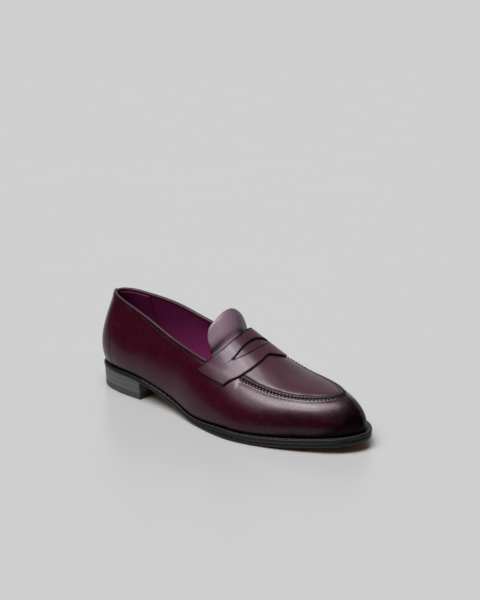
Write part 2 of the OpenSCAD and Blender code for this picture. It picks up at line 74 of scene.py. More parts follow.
# fullness of the wall: out and up from the feather line, then out and down from the rim
FULL_LAT = [[10, 24, 6, 22], [10, 24, 7, 22], [8, 22, 8, 22], [4.5, 20, 8, 20],
            [3, 17, 9, 19], [2.5, 14, 11, 15], [2.5, 12, 12, 9], [3, 12, 10, 5],
            [3, 12, 9, 3.5], [3, 12, 9, 3], [3, 13, 10, 3]]
FULL_MED = [[10, 24, 6, 22], [10, 24, 6, 22], [8, 22, 6, 22], [6.5, 20, 6, 20],
            [9, 18, 7, 19], [8, 16, 10, 16], [4, 12, 11, 10], [3, 12, 10, 5],
            [3, 12, 9, 3.5], [3, 12, 9, 3], [3, 13, 10, 3]]
# how far the apron and the instep arch over the rim
ARCH_RISE = np.array([28, 28, 28, 28, 28, 24, 14.2, 8.2, 4.9, 1.8, 0])
HEEL_H, SPRING = 20.0, 8.0
EDGE_WAIST, EDGE_FORE, WELT_SHARE = 4.4, 7.8, 0.4
UPPER_T, LINING_D, SKIN_T = 1.3, 2.0, 3.0
# the strap's edges, as s at 13 even steps from its lateral end to its medial end
STRAP_REAR = np.array([4.92, 5.03, 5.13, 5.33, 5.42, 5.45, 5.44, 5.41, 5.37, 5.29, 5.13, 5.03, 4.92])
STRAP_FRONT = np.array([5.75, 5.89, 6.06, 6.21, 6.27, 6.28, 6.295, 6.325, 6.37, 6.35, 6.14, 5.92, 5.78])
STRAP_LOW = (0.8, 0.73)
STRAP_SWELL = np.array([0, 4.5, 1.3])
STRAP_T, STRAP_LEN = 1.5, 130
SLOT_Q, SLOT_T, NOTCH_Q = (0.24, 0.74), 0.42, 0.522
# passes that smooth the strap along its length
SMOOTHINGS = 14
# the sock liner lies SKIN_T + SOCK_LIFT over the feather line
SOCK_LIFT = 3.06
# the tongue's ribs: share of the length, y, height, half width, sweep and drop of the sides
TONGUE = [[.531, -1.9, 69.3, 25.3, 9.5, 15.6], [.517, .3, 76.8, 27.5, 7, 14.6],
          [.501, 3, 83.3, 29, 7, 14.2], [.4865, 4.7, 87.9, 25, 5.8, 9.5],
          [.4785, 5.2, 89.9, 14, 2.2, 3.4], [.475, 5.3, 90.6, 6.2, .5, .9]]


# ------------------------ curves

def unit(v):
    return v / np.maximum(np.linalg.norm(v, axis=-1, keepdims=True), 1e-9)


def ease(t):
    c = np.clip(t, 0, 1)
    return c * c * (3 - 2 * c)


def bell(x, middle, width):
    return np.exp(-((x - middle) / width) ** 2)


def catmull(a, b, c, d, t):
    return b + 0.5 * t * ((c - a) + t * (2 * a - 5 * b + 4 * c - d + t * (3 * b - a - 3 * c + d)))


def on_loop(p, s):
    """Smooth closed curve through the points p, point k at s = k."""
    s = np.asarray(s, float)
    i = np.floor(s).astype(int)
    t = s - i
    if p.ndim > 1:
        t = t[..., None]
    n = len(p)
    return catmull(p[(i - 1) % n], p[i % n], p[(i + 1) % n], p[(i + 2) % n], t)


def on_line(p, s):
    """Smooth open curve through the points p, point k at s = k."""
    p, s = np.asarray(p, float), np.asarray(s, float)
    n = len(p)
    i = np.clip(np.floor(s).astype(int), 0, n - 2)
    t = s - i
    if p.ndim > 1:
        t = t[..., None]
    return catmull(p[np.maximum(i - 1, 0)], p[i], p[i + 1], p[np.minimum(i + 2, n - 1)], t)


def arc_length(p):
    """Length along the points p, from the first of them."""
    return np.concatenate([[0], np.cumsum(np.linalg.norm(np.diff(p, axis=0), axis=1))])


def both_sides(lat, med):
    """One loop from a lateral and a medial list, which share heel and toe."""
    return np.vstack([lat, med[9:0:-1]])


def sole_z(x):
    """Height of the sole's underside: up over the heel, and springing at the toe."""
    ramp = np.clip((x / SOLE_LEN - 0.133) / (0.55 - 0.133), 0, 1)
    spring = np.maximum(0, (x / SOLE_LEN - 0.66) / 0.34)
    return HEEL_H / 2 * (1 + np.cos(np.pi * ramp)) + SPRING * spring ** 1.4


def edge_t(x):
    """Thickness of the edge, welt and sole together."""
    return EDGE_WAIST + (EDGE_FORE - EDGE_WAIST) * ease((x / SOLE_LEN - 0.44) / 0.18)


def welt_z(x):
    return sole_z(x) + (1 - WELT_SHARE) * edge_t(x)


def feather_z(x):
    return sole_z(x) + edge_t(x)


def feather_in(x):
    """How far the feather line lies in from the sole's edge."""
    return 2.6 + 2.6 * ease((x / SOLE_LEN - 0.4) / 0.22)


def rim_points(table):
    t = np.array(table)
    return np.stack([t[:, 0] * SOLE_LEN, t[:, 1], t[:, 2] + feather_z(t[:, 0] * SOLE_LEN)], 1)


OUTLINE = both_sides(*(np.stack([STATION * SOLE_LEN, y], 1) for y in (EDGE_LAT, EDGE_MED)))
RIM = both_sides(rim_points(RIM_LAT), rim_points(RIM_MED))
FULL = both_sides(np.array(FULL_LAT, float), np.array(FULL_MED, float))


def outline(s):
    return on_loop(OUTLINE, s)


def outward(s):
    d = unit(outline(np.asarray(s) + 0.05) - outline(np.asarray(s) - 0.05))
    return np.stack([d[..., 1], -d[..., 0]], -1)


def rim(s):
    return on_loop(RIM, s)


def sole_point(s, inset, z):
    """A point of the outline moved in by inset, at the height z(x)."""
    p = outline(s) - outward(s) * np.asarray(inset)[..., None]
    return np.concatenate([p, np.asarray(z(p[..., 0]))[..., None]], -1)


def wall(s, v):
    """The upper's side, v from the feather line (0) to the rim (1)."""
    s, v = np.broadcast_arrays(np.asarray(s, float), np.asarray(v, float))
    f = sole_point(s, feather_in(outline(s)[..., 0]), feather_z)
    r, m, o = rim(s), on_loop(FULL, s), outward(s)
    v = v[..., None]
    u = 1 - v
    low = f + np.stack([o[..., 0] * m[..., 0], o[..., 1] * m[..., 0], m[..., 1]], -1)
    top = r + np.stack([o[..., 0] * m[..., 2], o[..., 1] * m[..., 2], -m[..., 3]], -1)
    return u ** 3 * f + 3 * u * u * v * low + 3 * u * v * v * top + v ** 3 * r


def arch(s, w):
    """The arch over the foot, w from the rim at s (0) to the rim across the shoe (1)."""
    s, w = np.broadcast_arrays(np.asarray(s, float), np.asarray(w, float))
    a, b = rim(s), rim(20 - s)
    p = a + (b - a) * w[..., None]
    p[..., 2] += on_line(ARCH_RISE, s) * (1 - np.abs(2 * w - 1) ** 2.3)
    return p


def wall_out(s, v):
    e = 0.02
    return unit(np.cross(wall(s + e, v) - wall(s - e, v),
                         wall(s, np.minimum(1, v + 0.01)) - wall(s, np.maximum(0, v - 0.01))))


def mm_per_v(s):
    """Millimetres to one unit of v, close to the rim."""
    return np.linalg.norm(wall(s, 1.0) - wall(s, 0.99), axis=-1) / 0.01


def grid_out(p):
    """Normals of a grid, along axis 0 x axis 1."""
    return unit(np.cross(np.gradient(p, axis=0), np.gradient(p, axis=1)))


# ------------------------ mesh building

def make(name, verts, faces, materials, attrs=None, weld=0.0, sharp=40, face_mat=None):
    """A mesh object from points or grids of points in mm; faces get outward normals."""
    mesh = bpy.data.meshes.new(name)
    mesh.from_pydata(((np.asarray(verts).reshape(-1, 3) + SHIFT) * MM).tolist(), [], faces)
    for key, values in (attrs or {}).items():
        data = mesh.attributes.new(key, "FLOAT", "POINT").data
        data.foreach_set("value", np.asarray(values, np.float32).ravel())
    for m in materials:
        mesh.materials.append(m)
    if face_mat is not None:
        mesh.polygons.foreach_set("material_index", face_mat)
    bm = bmesh.new()
    bm.from_mesh(mesh)
    if weld:
        bmesh.ops.remove_doubles(bm, verts=bm.verts, dist=weld * MM)
        bmesh.ops.dissolve_degenerate(bm, dist=1e-7, edges=bm.edges)
    bmesh.ops.recalc_face_normals(bm, faces=bm.faces)
    bm.to_mesh(mesh)
    bm.free()
    mesh.shade_smooth()
    mesh.set_sharp_from_angle(angle=math.radians(sharp))
    obj = bpy.data.objects.new(name, mesh)
    bpy.context.scene.collection.objects.link(obj)
    return obj


def quads(nu, nv, wrap_u=False, wrap_v=False):
    """Faces of a grid of nu x nv points, joined end to end where it wraps."""
    last_u, last_v = nu if wrap_u else nu - 1, nv if wrap_v else nv - 1
    i, j = np.meshgrid(np.arange(last_u), np.arange(last_v), indexing="ij")
    i, j = i.ravel(), j.ravel()
    a, b = i * nv + j, (i + 1) % nu * nv + j
    c, d = (i + 1) % nu * nv + (j + 1) % nv, i * nv + (j + 1) % nv
    return np.stack([a, b, c, d], 1)


ARC = 4


def shell_rings(outer, inner, bulge=1.0):
    """Closed cross-sections of a sheet between two grids, with rounded ends along axis 1."""
    def turn(a, before, b):
        middle, half = (a + b) / 2, (a - b) / 2
        r = np.linalg.norm(half, axis=-1, keepdims=True)
        along = unit(a - before)
        angles = np.linspace(0, np.pi, ARC + 2)[1:-1]
        return np.stack([middle + half * math.cos(t) + along * r * math.sin(t) * bulge for t in angles], 1)
    return np.concatenate([outer, turn(outer[:, -1], outer[:, -2], inner[:, -1]), inner[:, ::-1],
                           turn(inner[:, 0], inner[:, 1], outer[:, 0])], 1)


def shell_attr(outer, inner, edge):
    """An attribute's values in the order of shell_rings."""
    arc = np.full((outer.shape[0], ARC), float(edge))
    return np.concatenate([outer, arc, np.broadcast_to(inner, outer.shape), arc], 1)


def shell(name, outer, inner, materials, attrs, bulge=1.0, **kw):
    """A closed sheet between two grids; attrs holds each attribute's (outer, inner, edge) values."""
    rings = shell_rings(outer, inner, bulge)
    n, k = rings.shape[:2]
    faces = quads(n, k, wrap_v=True).tolist()
    order = list(range(k - ARC // 2, k)) + list(range(k - ARC // 2))
    for base, flip in ((0, True), ((n - 1) * k, False)):
        for m in range(k // 2 - 1):
            f = [base + order[i] for i in (m, m + 1, k - 2 - m, k - 1 - m)]
            faces.append(f[::-1] if flip else f)
    values = {key: shell_attr(*value) for key, value in attrs.items()}
    return make(name, rings, faces, materials, values, **kw)


def tubes(name, paths, radius, materials, sides=6, flat=1.0, ups=None):
    """Round threads along short paths, tapered shut at both ends."""
    verts, faces, n0 = [], [], 0
    for idx, path in enumerate(paths):
        path = np.asarray(path, float)
        n = len(path)
        tan = unit(np.gradient(path, axis=0))
        ref = np.array([0, 0, 1.0]) if ups is None else ups[idx]
        side = unit(np.cross(tan, np.broadcast_to(ref, tan.shape)))
        up = unit(np.cross(side, tan))
        taper = np.ones(n)
        taper[0] = taper[-1] = 0.45
        for k in range(n):
            for m in range(sides):
                a = 2 * np.pi * m / sides
                out = side[k] * math.cos(a) + up[k] * math.sin(a) * flat
                verts.append(path[k] + out * radius * taper[k])
        for k in range(n - 1):
            for m in range(sides):
                a, b = n0 + k * sides + m, n0 + k * sides + (m + 1) % sides
                faces.append([a, b, b + sides, a + sides])
        faces.append([n0 + m for m in range(sides)][::-1])
        faces.append([n0 + (n - 1) * sides + m for m in range(sides)])
        n0 += n * sides
    return make(name, np.array(verts), faces, materials, sharp=80)


CUT_ANGLE = math.radians(50)


def apply_modifiers(obj):
    bpy.context.view_layer.update()
    done = bpy.data.meshes.new_from_object(obj.evaluated_get(bpy.context.evaluated_depsgraph_get()))
    done.name = obj.name
    obj.modifiers.clear()
    obj.data = done
    done.shade_smooth()
    done.set_sharp_from_angle(angle=CUT_ANGLE)
    return obj


def plate(name, outer_verts, faces, thickness, materials, attrs, bevel):
    """A sheet of even thickness with cut, dyed and rounded edges, from its outer surface."""
    obj = make(name, outer_verts, faces, materials, attrs, weld=0.02)
    s = obj.modifiers.new("thickness", "SOLIDIFY")
    s.thickness, s.offset, s.material_offset_rim = thickness * MM, -1, 1
    b = obj.modifiers.new("edges", "BEVEL")
    b.limit_method, b.angle_limit = "ANGLE", CUT_ANGLE
    b.width, b.segments, b.material = bevel * MM, 3, 1
    return apply_modifiers(obj)


# ------------------------ materials

class Graph:
    """A material's nodes, added one call each; inputs are numbers, colours or other nodes' sockets."""

    def __init__(self, name):
        self.mat = bpy.data.materials.new(name)
        self.mat.use_nodes = True
        self.tree = self.mat.node_tree
        self.tree.nodes.clear()
        self.pos = self.add("TexCoord").outputs["Object"]

    def put(self, value, socket):
        if isinstance(value, bpy.types.NodeSocket):
            self.tree.links.new(value, socket)
        else:
            socket.default_value = value

    def add(self, kind, inputs=None, **props):
        node = self.tree.nodes.new("ShaderNode" + kind)
        for key, value in props.items():
            setattr(node, key, value)
        for key, value in (inputs or {}).items():
            self.put(value, node.inputs[key])
        return node

    def attr(self, name):
        return self.add("Attribute", attribute_name=name).outputs["Fac"]

    def noise(self, scale, detail=3.0, rough=0.5, distortion=0.0, vector=None):
        inputs = {"Vector": vector or self.pos, "Scale": scale, "Detail": detail,
                  "Roughness": rough, "Distortion": distortion}
        return self.add("TexNoise", inputs).outputs["Fac"]

    def stretched(self, x, y, z):
        return self.add("Mapping", {"Vector": self.pos, "Scale": (x, y, z)}).outputs["Vector"]

    def cells(self, scale):
        node = self.add("TexVoronoi", {"Vector": self.pos, "Scale": scale}, feature="F1")
        return node.outputs["Distance"]

    def math(self, op, a, b=0.0, clamp=False):
        return self.add("Math", {0: a, 1: b}, operation=op, use_clamp=clamp).outputs[0]

    def ramp(self, value, low, high, to_low=0.0, to_high=1.0):
        return self.add("MapRange", {"Value": value, "From Min": low, "From Max": high,
                                     "To Min": to_low, "To Max": to_high}).outputs["Result"]

    def mix(self, fac, a, b):
        node = self.add("Mix", data_type="RGBA")
        for index, value in ((0, fac), (6, a), (7, b)):
            self.put((*value, 1.0) if isinstance(value, tuple) else value, node.inputs[index])
        return node.outputs[2]

    def bump(self, height, distance, strength=1.0, normal=None):
        inputs = {"Height": height, "Strength": strength, "Distance": distance}
        if normal is not None:
            inputs["Normal"] = normal
        return self.add("Bump", inputs).outputs["Normal"]

    def finish(self, color, roughness, normal=None, **fixed):
        shader = self.add("BsdfPrincipled", {"Base Color": color, "Roughness": roughness})
        if normal is not None:
            self.tree.links.new(normal, shader.inputs["Normal"])
        for key, value in fixed.items():
            shader.inputs[key.replace("_", " ").title().replace("Ior", "IOR")].default_value = value
        self.tree.links.new(shader.outputs[0], self.add("OutputMaterial").inputs["Surface"])
        return self.mat


WORN = (0.085, 0.012, 0.03)
COAT, COAT_ON_INK, SHINE_ON_INK = 0.17, 0.03, 0.1


def polished_leather(name, base, dark, rough, spec=0.4):
    """Burnished calf: clouded dye, darker where the attribute says (burnish and edge ink, and in places
    painted shade), fine pores and polish streaks.
    """
    g = Graph(name)
    cloud = g.noise(16.0, 4.0, 0.6, 0.4)
    fine = g.noise(130.0, 5.0, 0.6)
    burn_and_shade = g.math("ADD", g.attr("burn_and_shade"), g.ramp(cloud, 0.3, 0.7, -0.16, 0.16), clamp=True)
    color = g.mix(burn_and_shade, base, dark)
    lift = g.math("MULTIPLY", g.ramp(fine, 0.52, 0.78), 0.22)
    color = g.mix(lift, color, WORN)
    pore = g.cells(1150.0)
    color = g.mix(g.ramp(pore, 0.0, 0.22, 0.35, 0.0), color, dark)
    smear = g.noise(55.0, 4.0, 0.6, 0.0, g.stretched(1.0, 1.0, 2.4))
    # where the mask is darkest, edge ink and painted shade alike, coat and shine are turned down
    ink = g.ramp(burn_and_shade, 0.7, 1.0)
    streaks = g.ramp(g.math("ADD", smear, g.math("MULTIPLY", fine, 0.4)), 0.35, 0.95, *rough)
    roughness = g.math("ADD", streaks, g.math("MULTIPLY", ink, 0.12))
    height = g.math("ADD", g.ramp(pore, 0.0, 0.5), g.math("MULTIPLY", g.noise(420.0, 4.0, 0.6), 0.9))
    normal = g.bump(height, 0.00007, 0.6)
    soft = g.bump(g.noise(38.0, 2.0, 0.5), 0.0006, 0.35, normal)
    mat = g.finish(color, roughness, soft, coat_roughness=0.14, specular_tint=(1.0, 0.86, 0.96, 1.0))
    shader = next(n for n in g.tree.nodes if n.bl_idname == "ShaderNodeBsdfPrincipled")
    g.tree.links.new(g.ramp(ink, 0.0, 1.0, COAT, COAT_ON_INK), shader.inputs["Coat Weight"])
    g.tree.links.new(g.ramp(ink, 0.0, 1.0, spec, SHINE_ON_INK), shader.inputs["Specular IOR Level"])
    return mat


def plain_leather(name, base, dark, rough=(0.5, 0.68), scale=1.0):
    """Unpolished leather: lining, binding, tab, insole and sole."""
    g = Graph(name)
    cloud = g.noise(26.0 * scale, 5.0, 0.6, 0.5)
    fine = g.noise(300.0 * scale, 5.0, 0.65)
    burn_and_shade = g.math("ADD", g.attr("burn_and_shade"), g.ramp(cloud, 0.3, 0.72, -0.1, 0.25), clamp=True)
    color = g.mix(burn_and_shade, base, dark)
    color = g.mix(g.ramp(fine, 0.35, 0.75, 0.0, 0.3), color, dark)
    pore = g.cells(900.0 * scale)
    relief = g.math("ADD", g.ramp(pore, 0.0, 0.45), fine)
    roughness = g.ramp(fine, 0.3, 0.7, *rough)
    return g.finish(color, roughness, g.bump(relief, 0.00012, 0.7), specular_ior_level=0.35)


def dyed_edge(name, base, rough, streak=(3.0, 3.0, 60.0)):
    """Edge ink over pressed layers: fine streaks along the edge."""
    g = Graph(name)
    layers = g.noise(9.0, 5.0, 0.6, 0.0, g.stretched(*streak))
    fine = g.noise(240.0, 4.0, 0.6)
    color = g.mix(g.ramp(layers, 0.35, 0.75, 0.0, 0.35), base, tuple(1.6 * c + 0.002 for c in base))
    roughness = g.ramp(g.math("ADD", layers, fine), 0.7, 1.3, *rough)
    normal = g.bump(g.math("ADD", layers, g.math("MULTIPLY", fine, 0.5)), 0.00009, 0.7)
    return g.finish(color, roughness, normal, specular_ior_level=0.3)


def thread_material(name, base, light):
    """Waxed twisted thread."""
    g = Graph(name)
    wave = {"Vector": g.pos, "Scale": 520.0, "Distortion": 1.5, "Detail": 2.0}
    twist = g.add("TexWave", wave, bands_direction="DIAGONAL").outputs["Fac"]
    fluff = g.noise(700.0, 3.0)
    color = g.mix(g.ramp(g.math("ADD", twist, fluff), 0.6, 1.5), base, light)
    return g.finish(color, g.ramp(fluff, 0.3, 0.7, 0.4, 0.65), g.bump(twist, 0.00012, 0.7))


def moulded(name, base, light, rough=(0.5, 0.7), scale=600.0, metal=0.0):
    """Rubber, board, cork or steel: speckle and a fine matt texture."""
    g = Graph(name)
    speck = g.noise(scale, 4.0, 0.65)
    color = g.mix(g.ramp(speck, 0.35, 0.75), base, light)
    return g.finish(color, g.ramp(g.noise(scale * 0.3, 3.0), 0.3, 0.7, *rough),
                    g.bump(speck, 0.0001, 0.6), metallic=metal)


# the second colour is the near-black of burnish and edge ink, and also of painted shade
BURGUNDY, BURNT_AND_SHADE = (0.031, 0.0011, 0.0068), (0.0018, 0.0003, 0.0005)
# a lighter copy of the burgundy for the apron and strap, which face the overhead light: painted sheen
PAINTED_SHEEN_BURGUNDY = (0.036, 0.004, 0.0135)
PLUM, PLUM_DARK = (0.21, 0.016, 0.105), (0.05, 0.005, 0.027)
upper = polished_leather("upper_leather", BURGUNDY, BURNT_AND_SHADE, rough=(0.2, 0.3))
vamp = polished_leather("apron_leather", PAINTED_SHEEN_BURGUNDY, BURNT_AND_SHADE, rough=(0.34, 0.44), spec=0.42)
strap_mat = polished_leather("strap_leather", PAINTED_SHEEN_BURGUNDY, BURNT_AND_SHADE, rough=(0.32, 0.42), spec=0.42)
# the tongue's light greyish mauve stands for the overhead light's reflection: painted sheen
tongue_painted_sheen_mat = polished_leather("tongue_leather", (0.15, 0.088, 0.12), BURNT_AND_SHADE, rough=(0.48, 0.58), spec=0.9)
lining = plain_leather("lining_leather", PLUM, PLUM_DARK)
sock = plain_leather("sock_leather", (0.1, 0.03, 0.055), PLUM_DARK)
binding = plain_leather("binding_leather", (0.052, 0.009, 0.02), (0.015, 0.003, 0.006), rough=(0.35, 0.5))
welt_mat = dyed_edge("welt_leather", (0.0022, 0.002, 0.0021), rough=(0.38, 0.5), streak=(6.0, 6.0, 60.0))
sole_edge = dyed_edge("sole_edge_ink", (0.0016, 0.0016, 0.0018), rough=(0.2, 0.32))
sole_bottom = plain_leather("sole_leather", (0.6, 0.27, 0.1), (0.3, 0.11, 0.04), (0.38, 0.6), scale=0.7)
# the heel's black paint is given a mid grey here: painted sheen
heel_painted_sheen_edge = dyed_edge("heel_leather", (0.085, 0.0848, 0.0852), rough=(0.34, 0.46), streak=(2.0, 2.0, 90.0))
rubber = moulded("heel_rubber", (0.03, 0.03, 0.031), (0.06, 0.06, 0.061), rough=(0.4, 0.6))
cut_edge = dyed_edge("cut_edge_ink", (0.004, 0.002, 0.0025), rough=(0.35, 0.55), streak=(20.0, 20.0, 20.0))
tab_mat = plain_leather("tab_leather", (0.006, 0.005, 0.006), (0.002, 0.002, 0.002), rough=(0.35, 0.5))
black_thread = thread_material("seam_thread", (0.002, 0.002, 0.002), (0.016, 0.013, 0.014))
topline_thread = thread_material("topline_thread", (0.004, 0.002, 0.003), (0.02, 0.012, 0.015))
welt_thread = thread_material("welt_thread", (0.05, 0.046, 0.047), (0.12, 0.11, 0.11))
board = moulded("stiffener_board", (0.35, 0.25, 0.16), (0.5, 0.38, 0.26), scale=250.0)
insole_mat = plain_leather("insole_leather", (0.5, 0.36, 0.24), (0.3, 0.2, 0.12))
cork = moulded("cork", (0.2, 0.1, 0.045), (0.5, 0.32, 0.17), rough=(0.7, 0.9), scale=330.0)
steel = moulded("shank_steel", (0.36, 0.37, 0.39), (0.55, 0.56, 0.58), (0.25, 0.45), 900.0, metal=1.0)

# these five stay as the CAD made them, with new materials
for node, material in (("heel_stiffener", board), ("toe_puff", board), ("insole", insole_mat),
                       ("cork_filler", cork), ("shank", steel)):
    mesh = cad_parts[node].data
    mesh.materials.clear()
    mesh.materials.append(material)


def place(obj, slot, *nodes, body="shoe"):
    """Hide the CAD nodes a piece replaces and, unless it is blended, hang it on its body; the slot is not
    used.
    """
    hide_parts(*nodes)
    if body:
        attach(obj, body)


# ------------------------ seam measure

SEAM_S = np.linspace(6.0, 14.0, 3201)
SEAM_P = rim(SEAM_S)
SEAM_ARC = arc_length(SEAM_P)
STITCHES = 58
FIRST, LAST = (float(np.interp(k, SEAM_S, SEAM_ARC)) for k in (6.16, 13.84))
PITCH = (LAST - FIRST) / (STITCHES - 1)


def pinch(s):
    """1 at each hand stitch, 0 half way to the next."""
    arc = np.interp(s, SEAM_S, SEAM_ARC)
    on = ease((s - 6.03) / 0.1) * ease((13.97 - s) / 0.1)
    return on * (0.5 + 0.5 * np.cos(2 * np.pi * (arc - FIRST) / PITCH)) ** 2


def lateral(s):
    """The same station on the lateral side."""
    return np.where(s > 10, 20 - s, s)


def seam_on(s):
    """1 along the hand seam, 0 behind it."""
    return ease((lateral(s) - 6.0) / 0.1)


# ------------------------ walls

# distances below the rim, in mm, where the grids have a row
NEAR_RIM = np.array([0, 0.2, 0.45, 0.7, 0.95, 1.2, 1.5, 1.8, 2.15, 2.5, 2.9, 3.4, 4.1, 5.2])
COUNTER_S = 1.75


def wall_samples(s0, s1):
    """Stations from s0 to s1, closer together at the seams."""
    counter = [k + np.arange(-0.1, 0.11, 0.02) for k in (COUNTER_S, -COUNTER_S, 20 - COUNTER_S)]
    s = np.concatenate([np.arange(-2, 6, 1 / 16), np.arange(6, 14, 1 / 48), np.arange(14, 22, 1 / 16),
                        10 + np.arange(-0.24, 0.241, 0.012), *counter])
    s = np.unique(np.round(s[(s > s0 + 0.004) & (s < s1 - 0.004)], 4))
    return np.concatenate([[s0], s, [s1]])


def wall_grid(s):
    near = 1 - NEAR_RIM[None, ::-1] / mm_per_v(s)[:, None]
    low = np.linspace(0, 1, 38)[None, :-1] ** 0.9 * near[:, :1]
    v = np.concatenate([low, near], 1)
    sg = np.broadcast_to(s[:, None], v.shape)
    return sg, v, wall(sg, v), wall_out(sg, v)


def wall_relief(s, v, p):
    """Height of the leather over the plain wall, and how dark it is."""
    d = np.linalg.norm(p - rim(s), axis=-1)
    on, pin = seam_on(s), pinch(s)
    # roll of the hand seam, dented by its stitches, over a shallow hollow
    h = on * (1.05 - 0.3 * pin) * bell(d, 1.3, 1.2)
    h -= on * pin * 0.05 * bell(d, 3.4, 2.2)
    h -= on * 1.0 * np.exp(-np.maximum(d - 1.5, 0) / 4.2)
    # toe seam
    e = np.linalg.norm(p - wall(np.full_like(s, 10.0), v), axis=-1)
    near = (np.abs(s - 10) < 1) * ease(v / 0.1) * ease((d - 0.3) / 1.6)
    h += near * (0.5 * bell(e, 1.5, 1.3) - 0.12 * bell(e, 0, 0.5))
    # counter seam
    side = np.where(s > 10, 20 - COUNTER_S, COUNTER_S)
    side = np.where(s < 0, -COUNTER_S, side)
    c = np.linalg.norm(p - wall(side, v), axis=-1) + 20 * (np.abs(s - side) > 0.6)
    inside = (s < COUNTER_S) & (s > -COUNTER_S) | (s > 20 - COUNTER_S)
    h += np.where(inside, 0.22 * ease(c / 0.7), 0) - 0.16 * bell(c, 0, 0.4)
    # topline fold
    quarter = ease((5.6 - lateral(s)) / 0.3)
    h -= quarter * (0.12 * ease((3.2 - d) / 0.5) + 0.15 * bell(d, 3.1, 0.35))
    # painted shade in the tuck just over the welt and a little darker towards the bottom; dark in the seams
    # and towards the toe
    up = p[..., 2] - feather_z(p[..., 0])
    burn_and_shade = 0.85 * np.exp(-np.maximum(up, 0) / 3.5) + 0.25 * np.exp(-np.maximum(up, 0) / 14)
    burn_and_shade += on * (0.95 * ease((2.2 - d) / 0.5) * (0.45 + 0.55 * pin) + 0.2 * bell(d, 3.2, 1.6))
    burn_and_shade += near * (0.9 * bell(e, 0, 0.45) + 0.3 * bell(e, 3.0, 1.5))
    burn_and_shade += 0.7 * bell(c, 0, 0.45) + quarter * 1.1 * ease((3.2 - d) / 0.5)
    burn_and_shade += 0.3 * ease((p[..., 0] - 190) / 60) + 0.55 * ease((p[..., 0] - 262) / 26)
    return h, np.clip(burn_and_shade, 0, 1)


def wall_piece(name, s0, s1, node):
    s, v, p, n = wall_grid(wall_samples(s0, s1))
    h, burn_and_shade = wall_relief(s, v, p)
    side = shell(name, p + n * h[..., None], p - n * UPPER_T, [upper],
                 {"burn_and_shade": (burn_and_shade, 0.6, 0.9)}, bulge=0.25)
    place(side, "upper_leather", node)


wall_piece("quarter_and_vamp_lateral", COUNTER_S, 10.0, "wall_lateral")
wall_piece("quarter_and_vamp_medial", 10.0, 20 - COUNTER_S, "wall_medial")
wall_piece("counter_panel", -COUNTER_S, COUNTER_S, "back_counter")


# ------------------------ apron

APRON_FRONT = 9.985


def seam_distance(p):
    """Each point's distance from the hand seam, and the s of the seam's nearest point."""
    best = np.full(p.shape[:-1], 1e9)
    where = np.zeros(p.shape[:-1])
    seam_s, seam_p = SEAM_S[::4], SEAM_P[::4]
    for k in range(0, len(seam_p), 50):
        d = np.linalg.norm(p[..., None, :] - seam_p[k:k + 50], axis=-1)
        j = d.argmin(-1)
        m = np.take_along_axis(d, j[..., None], -1)[..., 0]
        where = np.where(m < best, seam_s[k + j], where)
        best = np.minimum(best, m)
    return best, where


def apron_grid(s0, s1, middle=44):
    """Grid between the rims from station s0 to s1, finer beside each rim."""
    s = np.unique(np.round(np.concatenate([np.arange(s0, 8, 0.035), np.arange(8, s1, 0.02), [s1]]), 4))
    width = np.linalg.norm(rim(20 - s) - rim(s), axis=-1)
    reach = np.minimum(NEAR_RIM[-1], width / 3)
    near = NEAR_RIM[None] / NEAR_RIM[-1] * reach[:, None] / np.maximum(width, 1e-6)[:, None] * 0.8
    inner = near[:, -1:] + (1 - 2 * near[:, -1:]) * np.linspace(0, 1, middle + 2)[None, 1:-1]
    w = np.concatenate([near, inner, 1 - near[:, ::-1]], 1)
    sg = np.broadcast_to(s[:, None], w.shape)
    e = 0.02
    n = unit(np.cross(arch(np.minimum(9.99, sg + e), w) - arch(sg - e, w),
                      arch(sg, np.minimum(1, w + e)) - arch(sg, np.maximum(0, w - e))))
    return sg, w, arch(sg, w), n


def strap_swell(w, t):
    """How far the strap's rear stands up over the tongue."""
    return STRAP_SWELL * ((1 - t) * np.sin(np.pi * w ** 2.5) ** 2)[..., None]


def apron_piece():
    s, w, p, n = apron_grid(5.5, APRON_FRONT)
    q = w / 1.5 + 1 / 6
    rear, front = on_line(STRAP_REAR, q * 12), on_line(STRAP_FRONT, q * 12)
    swell = strap_swell(w, np.clip((s - rear) / (front - rear), 0, 1))
    p = p + swell + n * (0.55 * ease((6.1 - s) / 0.25))[..., None]
    d, where = seam_distance(p)
    on, pin = seam_on(where), pinch(where)
    # a roll at the seam, a groove inside it, a dent at each stitch, then a slow swelling
    h = on * (0.72 - 0.18 * pin) * bell(d, 1.15, 1.0) - on * 0.34 * bell(d, 3.5, 0.42)
    h -= on * pin * 0.12 * bell(d, 2.3, 0.8)
    h += on * 0.25 * ease((d - 3.6) / 4.0) * np.exp(-np.maximum(d - 5, 0) / 12)
    burn_and_shade = on * (0.25 * ease((2.6 - d) / 0.6) + 0.35 * pin * ease((2.0 - d) / 0.5)
                 + 0.95 * bell(d, 3.4, 0.55) + 0.12 * np.exp(-d / 6))
    # painted shade on the apron under the strap and in its slot
    burn_and_shade += 0.25 * ease((6.3 - s) / 0.2)
    leaf = shell("apron_leaf", p + n * h[..., None], p - n * UPPER_T, [vamp],
                 {"burn_and_shade": (np.clip(burn_and_shade, 0, 1), 0.6, 0.9)}, bulge=0.25, weld=0.001)
    place(leaf, "apron_leather", "apron")


apron_piece()


# ------------------------ strap

